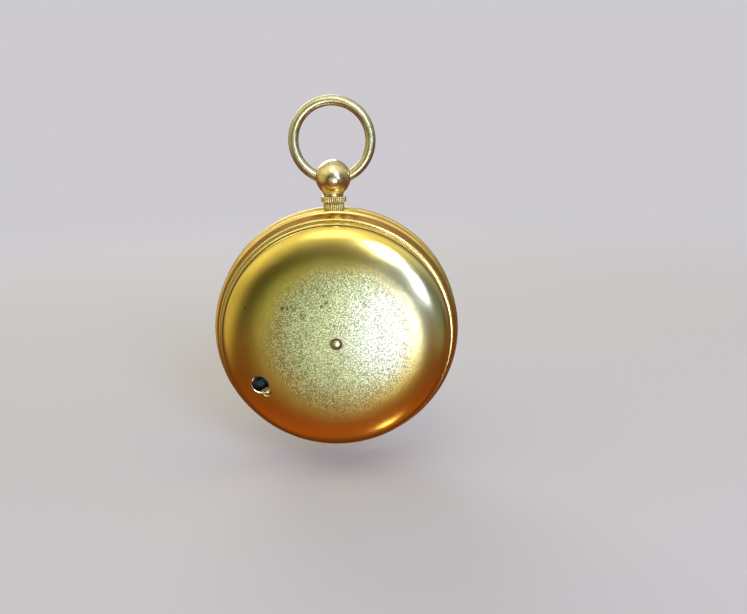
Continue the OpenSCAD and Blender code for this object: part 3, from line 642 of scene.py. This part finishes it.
ball = moved(sphere("ball", BALL_RAD), PENDANT, at(0, BALL_V, 0))
neck = lathe("neck", [(0, 26.5)] + soft([(1.75, 26.5), (1.84, 26.54), (1.88, 26.66), (1.88, 26.85), (1.93, 27.05), (2.06, 27.25), (2.24, 27.45), (2.48, 27.7), (2.72, 28.0)], 2) + [(0, 29.2)], 96)
moved(neck, PENDANT)
ball = fuse(ball, neck)
bores = []
for s in (-1, 1):
    b = moved(rod("bore", 0.62, 1.5, 4.0, 48), ALONG_U)
    if s < 0:
        b.data.transform(Matrix.Rotation(math.pi, 4, "Z"))
    bores.append(moved(b, at(0, BALL_V, PH)))
bores.append(moved(rod("spigot_bore", 1.0, 26.0, 28.0, 48), PENDANT))
ball = cut(ball, *bores)
ball.name = "ball_pendant"
place(ball, "case", "ball", ["pendant_ball"], sharp=28)


def reeds(count, top, depth, h0=None, h1=None):
    """Radius of a ring of rounded reeds, cut into the points of the outline that lie near its top radius."""
    def f(a, r, h):
        if r < top - depth - 0.06:
            return r
        w = abs(math.sin(count * a / 2)) ** 0.6
        return r - depth * (1 - w)
    return f


collar = lathe("milled_collar", [(1.0, 25.4), (2.1, 25.4)] + [(2.25 + 0.15 * math.sin(t), 25.55 - 0.15 * math.cos(t)) for t in np.linspace(0, math.pi / 2, 5)] +
               [(2.4, 25.8), (2.4, 26.1)] + [(2.25 + 0.15 * math.cos(t), 26.35 + 0.15 * math.sin(t)) for t in np.linspace(0, math.pi / 2, 5)] + [(2.1, 26.5), (1.0, 26.5)],
               36 * 12, reeds(36, 2.4, 0.14))
moved(collar, PENDANT)
place(collar, "case", "collar", ["pendant_collar"], sharp=45)

# outer shape of the middle band
MID = [(20.98, 0.5), (20.98, 1.4), (22.0, 1.4), (22.0, 1.52), (22.45, 1.52), (22.72, 1.62), (22.85, 1.82), (22.78, 2.04), (22.5, 2.2),
       (22.46, 2.4), (22.55, 2.62), (22.85, 3.05), (23.15, 3.5), (23.42, 3.95), (23.55, 4.16), (23.8, 4.3), (23.95, 4.45), (24.0, 4.67),
       (23.95, 4.88), (23.8, 5.0), (23.5, 5.15), (23.42, 5.5), (23.45, 6.5), (23.6, 7.5), (23.85, 8.1), (24.12, 8.3), (24.24, 8.5),
       (24.28, 8.76), (24.24, 9.0), (24.08, 9.15), (22.6, 9.15), (22.6, 10.0)]
keep = {0, 1, 2, 3, 8, 14, 20, 25, 30, 31}
band_outline = soft(MID, 3, keep)

stem = lathe("stem", [(0, 22.2), (2.0, 22.2)] + [(2.0, h) for h in np.linspace(22.4, 25.0, 14)] + [(1.98, 25.08), (1.86, 25.12), (1.85, 25.2), (1.85, 25.4), (0, 25.4)],
             30 * 12, reeds(30, 2.0, 0.12))
moved(stem, PENDANT)
inside = lathe("inside", [(0, 0.5)] + band_outline + [(0, 10.0)], 256)
stem = cut(stem, inside)
stem = fuse(stem, moved(rod("tenon", 1.3, 21.2, 24.4, 64), PENDANT), moved(rod("spigot", 1.0, 25.3, 28.0, 64), PENDANT))
stem.name = "reeded_stem"
place(stem, "case", "collar", ["pendant_stem"], sharp=45)


# ---------------------------------------------------------------- back

def dome(r, bulge, n):
    return [(r * math.sin(t) ** (2 / 3), -bulge * math.cos(t)) for t in [math.radians(90 * (i / n) ** 1.35) for i in range(n + 1)]]


lip = soft([(21.7, 0.0), (21.72, 0.05), (21.78, 0.07), (21.98, 0.13), (22.12, 0.35), (22.15, 0.7), (22.12, 1.1), (21.98, 1.34), (21.85, 1.4), (21.0, 1.4)], 2, {2, 9})
outer = dome(21.7, 3.6, 120)
inner = dome(21.0, 2.9, 40)
cup = lathe("cup", outer[:-1] + lip + inner[::-1][1:], 360)


def countersink(p, r, width):
    """A cone that breaks the outer edge of a hole of radius r, square to the dome at that place."""
    k = p[0] / 21.7
    z = -3.6 * math.sqrt(1 - k ** 3)
    slope = 3.6 * 1.5 * k ** 2 / 21.7 / math.sqrt(1 - k ** 3)
    c, s_ = math.cos(math.radians(p[1])), math.sin(math.radians(p[1]))
    zc = Vector((-slope * c, -slope * s_, 1)).normalized()
    tc_ = Vector((-s_, c, 0))
    xc = tc_.cross(zc)
    m = Matrix((xc, tc_, zc)).transposed().to_4x4()
    m.translation = (*polar(p), z)
    return moved(lathe("countersink", [(0, -0.4), (r + width + 0.4, -0.4), (r + width, 0.0), (r - 0.06, width + 0.06), (0, width + 0.06)], 96), m)


cup = cut(cup, moved(rod("winding_hole", 1.56, -5, 1, 96), at(*polar(HOLE))), moved(rod("lobe", 0.75, -5, 1, 64), at(*polar(LOBE))), rod("rivet_hole", 0.55, -5, 1, 48),
          countersink(HOLE, 1.56, 0.26), countersink(LOBE, 0.75, 0.14))
cup.name = "domed_back"
place(cup, "case", "back", ["back_cup"], sharp=40)

rivet = lathe("rivet_head", [(0, -2.3), (1.0, -2.3), (1.07, -2.33), (1.1, -2.4), (1.1, -2.5), (0.55, -2.5), (0.55, -3.6), (1.1, -3.6)] +
              soft([(1.1, -3.6), (1.1, -3.66), (1.05, -3.71), (0.93, -3.71), (0.84, -3.68), (0.80, -3.70), (0.78, -3.76), (0.70, -3.83), (0.52, -3.89), (0.28, -3.92), (0.0, -3.93)], 2, {0})[1:], 96)
place(rivet, "case", "rivet", ["shutter_rivet"], sharp=50)


# ---------------------------------------------------------------- band and bezel

band = lathe("band", band_outline + [(20.8, 10.0), (20.8, 6.2), (19.75, 6.2), (19.75, 5.4), (20.3, 5.1), (20.3, 0.5)], 360)
HINGE_R, HINGE_Z = 23.6, 9.22
knuckles = []
for s in (-1, 1):
    k = moved(rod("knuckle", 0.6, 1.62, 3.4, 48, 0.05), ALONG_U)
    if s < 0:
        k.data.transform(Matrix.Rotation(math.pi, 4, "Z"))
    knuckles.append(moved(k, at(0, -HINGE_R, HINGE_Z)))
band = fuse(band, *knuckles)
tools = [moved(rod("tenon_hole", 1.3, 21.0, 26.0, 64), PENDANT),
         moved(rod("relief", 0.7, -1.62, 1.62, 48), ALONG_U, at(0, -HINGE_R, HINGE_Z)),
         moved(rod("pin_hole", 0.25, -5, 5, 32), ALONG_U, at(0, -HINGE_R, HINGE_Z))]
tools += [moved(rod("screw_hole", 0.25, 5.0, 7.0, 24), at(*polar((20.15, a)))) for a in (40, 160, 280)]
band = cut(band, *tools)
band.name = "middle_band"
place(band, "case", "band", ["case_middle"], sharp=40)

BEZ = [(22.66, 9.3), (23.45, 9.3), (23.58, 9.42), (23.6, 9.7), (23.52, 10.15), (23.3, 10.6), (22.95, 11.0), (22.5, 11.25), (22.1, 11.3), (21.75, 11.2),
       (21.5, 11.0), (21.9, 11.0), (21.9, 10.4), (21.3, 10.4), (21.3, 10.2), (21.5, 10.12), (22.66, 10.12)]
rim = lathe("rim", soft(BEZ, 3, {0, 10, 11, 12, 13, 14, 15, 16}), 360)
rim = cut(rim, *[moved(rod("relief", 0.7, *((1.55, 3.5) if s > 0 else (-3.5, -1.55)), 48), ALONG_U, at(0, -HINGE_R, HINGE_Z)) for s in (-1, 1)])
rim = fuse(rim, moved(rod("knuckle", 0.6, -1.55, 1.55, 48, 0.05), ALONG_U, at(0, -HINGE_R, HINGE_Z)))
rim = cut(rim, moved(rod("pin_hole", 0.27, -5, 5, 32), ALONG_U, at(0, -HINGE_R, HINGE_Z)))
rim.name = "bezel_ring"
place(rim, "bezel", "polished", ["bezel"], sharp=40)

glass = lathe("domed_glass", [(21.2, 10.4), (21.88, 10.4), (21.9, 10.42), (21.9, 10.98), (21.88, 11.0)] +
              [(21.5 * k / 48, 11.0 + 1.4 * (1 - (k / 48) ** 2)) for k in range(48, -1, -1)] +
              [(21.2 * k / 48, 10.4 + 1.4 * (1 - (k / 48) ** 2)) for k in range(0, 48)], 256)
place(glass, "bezel", "glass", ["crystal"], sharp=30)


# ---------------------------------------------------------------- dial

plate = lathe("dial_plate", [(1.15, 8.2), (20.6, 8.2)] + soft([(20.66, 8.2), (20.7, 8.24), (20.7, 8.6), (20.66, 8.76), (20.5, 8.86), (20.2, 8.9)], 2) +
              [(19.0, 8.9), (12.0, 8.9), (4.0, 8.9), (1.45, 8.9)] + [(1.25, 8.88), (1.17, 8.82), (1.15, 8.74)], 256)
place(plate, "case", "enamel", ["dial"], sharp=45)

TOP = 8.9


def glyphs(text, h):
    """Outlines of Roman letters of height h, centred, baseline at 0."""
    width = {"I": 0.30 * h, "V": 0.74 * h, "X": 0.74 * h}
    total = sum(width[c] for c in text)
    x = -total / 2
    out = []
    s = 0.045 * h
    for c in text:
        w = width[c]
        a, b = x + 0.03 * h, x + w - 0.03 * h
        m = (a + b) / 2
        if c == "I":
            k = 0.085 * h
            out.append([(m - k, 0.02 * h), (m + k, 0.02 * h), (m + k, 0.98 * h), (m - k, 0.98 * h)])
            out += [[(a, 0), (b, 0), (b, s), (a, s)], [(a, h - s), (b, h - s), (b, h), (a, h)]]
        elif c == "V":
            out.append([(m - 0.02 * h, 0), (m + 0.06 * h, 0), (a + 0.22 * h, h * 0.98), (a + 0.04 * h, h * 0.98)])
            out.append([(m - 0.005 * h, 0), (m + 0.05 * h, 0), (b - 0.05 * h, h * 0.98), (b - 0.10 * h, h * 0.98)])
            out += [[(a - 0.01 * h, h - s), (a + 0.27 * h, h - s), (a + 0.27 * h, h), (a - 0.01 * h, h)], [(b - 0.19 * h, h - s), (b + 0.01 * h, h - s), (b + 0.01 * h, h), (b - 0.19 * h, h)]]
        else:
            out.append([(b - 0.22 * h, 0.02 * h), (b - 0.04 * h, 0.02 * h), (a + 0.22 * h, h * 0.98), (a + 0.04 * h, h * 0.98)])
            out.append([(a + 0.05 * h, 0.02 * h), (a + 0.10 * h, 0.02 * h), (b - 0.05 * h, h * 0.98), (b - 0.10 * h, h * 0.98)])
            for y0, y1 in ((0, s), (h - s, h)):
                out += [[(a - 0.01 * h, y0), (a + 0.26 * h, y0), (a + 0.26 * h, y1), (a - 0.01 * h, y1)], [(b - 0.26 * h, y0), (b + 0.01 * h, y0), (b + 0.01 * h, y1), (b - 0.26 * h, y1)]]
        x += w
    return out


numbers = []
for hour, text in enumerate(["XII", "I", "II", "III", "IIII", "V", "VI", "VII", "VIII", "IX", "X", "XI"]):
    for i, poly in enumerate(glyphs(text, 3.9)):
        # each stroke a hair thicker than the last, so that no two tops lie in one plane
        g = prism("stroke", [(x, y + 13.6) for x, y in poly], TOP, TOP + 0.022 + 0.0012 * i)
        numbers.append(moved(g, turned_by(-30 * hour)))
numerals = join("dial_numerals", numbers)
place(numerals, "case", "ink", sharp=30)

track = [lathe("track", [(r0, TOP), (r1, TOP), (r1, TOP + 0.02), (r0, TOP + 0.02)], 360) for r0, r1 in ((18.42, 18.50), (19.28, 19.36))]
for k in range(60):
    w = 0.16 if k % 5 == 0 else 0.055
    r0, r1 = (18.36, 19.42) if k % 5 == 0 else (18.46, 19.32)
    track.append(moved(prism("tick", [(-w, r0), (w, r0), (w, r1), (-w, r1)], TOP, TOP + 0.023 + 0.001 * (k % 2)), turned_by(-6 * k)))
track = join("minute_track", track)
place(track, "case", "ink", sharp=30)


def hand(name, length, ws, wt, wb, hub, bore, z0, z1, zh, degrees):
    """A spade hand: its outline rounded, its edges bevelled, on a turned hub."""
    half = [(-2.6, ws * 1.3), (-2.2, ws * 1.7), (-1.2, ws * 1.1), (0, ws), (length * 0.6, ws * 0.6), (length * 0.635, ws * 0.7), (length * 0.66, wb * 0.86), (length * 0.69, wb),
            (length * 0.73, wb * 0.95), (length * 0.775, wb * 0.6), (length * 0.82, wt * 1.6), (length * 0.9, wt * 0.85), (length, 0.06)]
    top = soft(half, 2)
    body = top + [(x, -y) for x, y in top[::-1]]
    blade = prism("blade", body, z0, z1)
    blade = bevel(blade, 0.05, 2, 40)
    blade.data.transform(turned_by(90 - degrees))
    boss = lathe("boss", [(0, z0), (hub, z0), (hub, zh - 0.06), (hub - 0.06, zh), (0, zh)], 96)
    blade = fuse(blade, boss)
    blade = cut(blade, rod("bore", bore, z0 - 1, zh + 1, 64))
    blade.name = name
    return blade


place(hand("hour_spade", 10.6, 0.36, 0.24, 1.15, 1.5, 1.0, 9.3, 9.46, 9.5, 305), "hour_work", "blued", ["hour_hand"], sharp=25)
place(hand("minute_spade", 15.8, 0.30, 0.20, 0.80, 1.15, 0.7, 9.74, 9.9, 9.95, 60), "centre_train", "blued", ["minute_hand"], sharp=25)


# ---------------------------------------------------------------- pieces that keep their CAD shape

for name, o in frame["nodes"].items():
    if o.hide_render:
        continue
    key = BY_SLOT[SLOT_OF[name]]
    if name == "shutter_nib":
        key = "nib"
    if name == "winding_shutter":
        key = "inner"
    # the winding bridge and the arbor's square take the near-black painted-shade materials
    if name in ("winding_bridge", "top_plate"):
        key = "well" if name == "winding_bridge" else key
    if name == "winding_arbor":
        key = "key_square"
    for s in range(max(1, len(o.material_slots))):
        if len(o.material_slots) == 0:
            break
        o.material_slots[s].link = "OBJECT"
        o.material_slots[s].material = M[key]


# ---------------------------------------------------------------- floor, backdrop, light, camera

def plain(name, colour, glow=None):
    m = bpy.data.materials.new(name)
    m.use_nodes = True
    nt = m.node_tree
    nt.nodes.clear()
    out = nt.nodes.new("ShaderNodeOutputMaterial")
    d = nt.nodes.new("ShaderNodeBsdfDiffuse")
    d.inputs["Color"].default_value = colour
    if glow is None:
        nt.links.new(d.outputs[0], out.inputs[0])
        return m
    e = nt.nodes.new("ShaderNodeEmission")
    e.inputs["Color"].default_value = glow
    mix = nt.nodes.new("ShaderNodeMixShader")
    tc = nt.nodes.new("ShaderNodeTexCoord")
    ln = nt.nodes.new("ShaderNodeVectorMath")
    ln.operation = "LENGTH"
    mr = nt.nodes.new("ShaderNodeMapRange")
    mr.interpolation_type = "SMOOTHSTEP"
    mr.inputs["From Min"].default_value = 0.10
    mr.inputs["From Max"].default_value = 0.42
    nt.links.new(tc.outputs["Object"], ln.inputs[0])
    nt.links.new(ln.outputs["Value"], mr.inputs["Value"])
    nt.links.new(mr.outputs[0], mix.inputs[0])
    nt.links.new(d.outputs[0], mix.inputs[1])
    nt.links.new(e.outputs[0], mix.inputs[2])
    nt.links.new(mix.outputs[0], out.inputs[0])
    return m


PAPER = (0.61, 0.595, 0.63, 1.0)
floor = new("floor", [(1.8 * math.cos(2 * math.pi * k / 96), 1.8 * math.sin(2 * math.pi * k / 96), 0) for k in range(96)], [tuple(range(96))])
floor.location = (0, 0.002, -0.0715)
floor.data.materials.append(plain("floor_paper", (0.58, 0.565, 0.57, 1.0), PAPER))
sky = lathe("backdrop", [(1.9 * math.sin(math.radians(a)), -1.9 * math.cos(math.radians(a))) for a in range(0, 181, 6)], 48)
sky.data.materials.append(plain("backdrop_paper", PAPER, PAPER))
for o in (floor, sky):
    o.visible_glossy = False
    o.visible_diffuse = False
    o.visible_shadow = False
sky.visible_transmission = True


def direction(az, el):
    a, e = math.radians(az), math.radians(el)
    return Vector((math.sin(a) * math.cos(e), math.cos(a) * math.cos(e), math.sin(e)))


CENTRE = Vector((0, 0, -0.040))


def panel(name, az, el, distance, size, radiance, colour):
    """A soft rectangular light that faces the watch."""
    d = direction(az, el)
    l = bpy.data.lights.new(name, "AREA")
    l.shape = "RECTANGLE"
    l.size, l.size_y = size
    l.energy = radiance * math.pi * size[0] * size[1]
    l.color = colour
    o = bpy.data.objects.new(name, l)
    bpy.context.scene.collection.objects.link(o)
    o.location = CENTRE + d * distance
    o.rotation_mode = "QUATERNION"
    o.rotation_quaternion = d.to_track_quat("Z", "Y")
    o.visible_camera = False
    return o


panel("window", -25, 27, 0.6, (0.16, 0.19), 10.5, (0.88, 0.97, 1.7))
panel("side_window", -35, 7, 0.6, (0.12, 0.16), 4.2, (0.82, 1.0, 1.6))
panel("table_glow", -12.5, -14.5, 0.5, (0.15, 0.12), 10.5, (0.92, 0.98, 1.28))
panel("low_spot", -35, -59, 0.4, (0.05, 0.05), 3.4, (1.0, 0.86, 0.6))
panel("dial_fill", 162, 30, 0.7, (0.5, 0.4), 2.6, (1.0, 0.99, 0.96))

world = bpy.data.worlds.new("studio")
bpy.context.scene.world = world
world.use_nodes = True
nt = world.node_tree
nt.nodes.clear()
w_out = nt.nodes.new("ShaderNodeOutputWorld")
w_bg = nt.nodes.new("ShaderNodeBackground")
nt.links.new(w_bg.outputs[0], w_out.inputs[0])
tc = nt.nodes.new("ShaderNodeTexCoord")
sep = nt.nodes.new("ShaderNodeSeparateXYZ")
nt.links.new(tc.outputs["Generated"], sep.inputs[0])
mr = nt.nodes.new("ShaderNodeMapRange")
mr.inputs["From Min"].default_value, mr.inputs["From Max"].default_value = -1.0, 1.0
nt.links.new(sep.outputs["Z"], mr.inputs["Value"])


def height_ramp(stops):
    """Colour of the surroundings by height, from (elevation in degrees, colour) stops."""
    r = nt.nodes.new("ShaderNodeValToRGB")
    r.color_ramp.interpolation = "LINEAR"
    while len(r.color_ramp.elements) < len(stops):
        r.color_ramp.elements.new(0.5)
    for e, (el, c) in zip(r.color_ramp.elements, stops):
        e.position, e.color = (math.sin(math.radians(el)) + 1) / 2, (*c, 1.0)
    nt.links.new(mr.outputs[0], r.inputs[0])
    return r.outputs[0]


# the room on the camera's side: a warm table, a dim wall and a light ceiling; on the far side, a dimmer wall
near = height_ramp([(-90, (.16, .05, .015)), (-68, (.34, .09, .022)), (-54, (.34, .085, .025)), (-45, (.26, .064, .02)), (-30, (.17, .06, .022)), (-17, (.16, .09, .05)), (-8, (.09, .075, .05)),
                    (0, (.045, .041, .030)), (10, (.04, .038, .030)), (16, (.075, .072, .06)), (22, (.24, .235, .19)), (33, (.52, .50, .41)), (46, (.84, .83, .69)), (60, (.98, .96, .84)), (90, (1.05, 1.02, .92))])
far = height_ramp([(-90, (.13, .04, .013)), (-60, (.12, .032, .010)), (-35, (.17, .055, .02)), (-12, (.22, .10, .06)), (0, (.27, .20, .20)), (20, (.32, .26, .25)), (45, (.44, .40, .38)), (65, (.70, .66, .58)), (90, (1.05, 1.02, .92))])
side = nt.nodes.new("ShaderNodeMapRange")
side.interpolation_type = "SMOOTHSTEP"
side.inputs["From Min"].default_value, side.inputs["From Max"].default_value = -0.22, 0.20
nt.links.new(sep.outputs["Y"], side.inputs["Value"])
both = nt.nodes.new("ShaderNodeMix")
both.data_type = "RGBA"
nt.links.new(side.outputs[0], both.inputs[0])
nt.links.new(far, both.inputs[6])
nt.links.new(near, both.inputs[7])
total = both.outputs[2]


def glow(az, el, inner, outer, colour):
    """A soft round patch of light in the surroundings."""
    global total
    dot = nt.nodes.new("ShaderNodeVectorMath")
    dot.operation = "DOT_PRODUCT"
    nt.links.new(tc.outputs["Generated"], dot.inputs[0])
    dot.inputs[1].default_value = direction(az, el)
    m = nt.nodes.new("ShaderNodeMapRange")
    m.interpolation_type = "SMOOTHSTEP"
    m.inputs["From Min"].default_value = math.cos(math.radians(outer))
    m.inputs["From Max"].default_value = math.cos(math.radians(inner))
    nt.links.new(dot.outputs["Value"], m.inputs["Value"])
    x = nt.nodes.new("ShaderNodeMix")
    x.data_type, x.blend_type = "RGBA", "ADD"
    x.clamp_result = False
    nt.links.new(m.outputs[0], x.inputs[0])
    nt.links.new(total, x.inputs[6])
    x.inputs[7].default_value = (*colour, 1.0)
    total = x.outputs[2]


glow(76, 12, 12, 44, (0.50, 0.44, 0.22))       # warm wall at the left of the picture
glow(-76, 26, 8, 36, (0.14, 0.17, 0.15))       # cooler side at its right
glow(3, 53, 7, 20, (1.5, 1.5, 1.45))           # ceiling above the camera
glow(0, -14, 8, 34, (0.15, 0.19, 0.13))
glow(9, -10, 4, 18, (0.32, 0.39, 0.24))
glow(40, 29, 6, 22, (0.26, 0.23, 0.18))
glow(-52, -8, 5, 20, (0.10, 0.14, 0.11))
nt.links.new(total, w_bg.inputs["Color"])
w_bg.inputs["Strength"].default_value = 1.0

cam = bpy.data.cameras.new("camera")
cam.lens, cam.sensor_width, cam.sensor_fit = 33.73, 36.0, "HORIZONTAL"
cam.clip_start, cam.clip_end = 0.001, 10.0
cam_o = bpy.data.objects.new("camera", cam)
bpy.context.scene.collection.objects.link(cam_o)
right, upv, back = Vector((-0.9996, 0.0257, -0.0147)), Vector((-0.0208, -0.2551, 0.9667)), Vector((0.0210, 0.9666, 0.2556))
back.normalize()
right = upv.cross(back).normalized()
upv = back.cross(right).normalized()
rot = Matrix((right, upv, back)).transposed()
cam_o.matrix_world = Matrix.Translation((-0.00437, 0.13501, -0.00306)) @ rot.to_4x4()
bpy.context.scene.camera = cam_o

view = bpy.context.scene.view_settings
view.view_transform = "Standard"
view.look = "None"
view.exposure = 0.0
view.gamma = 1.0
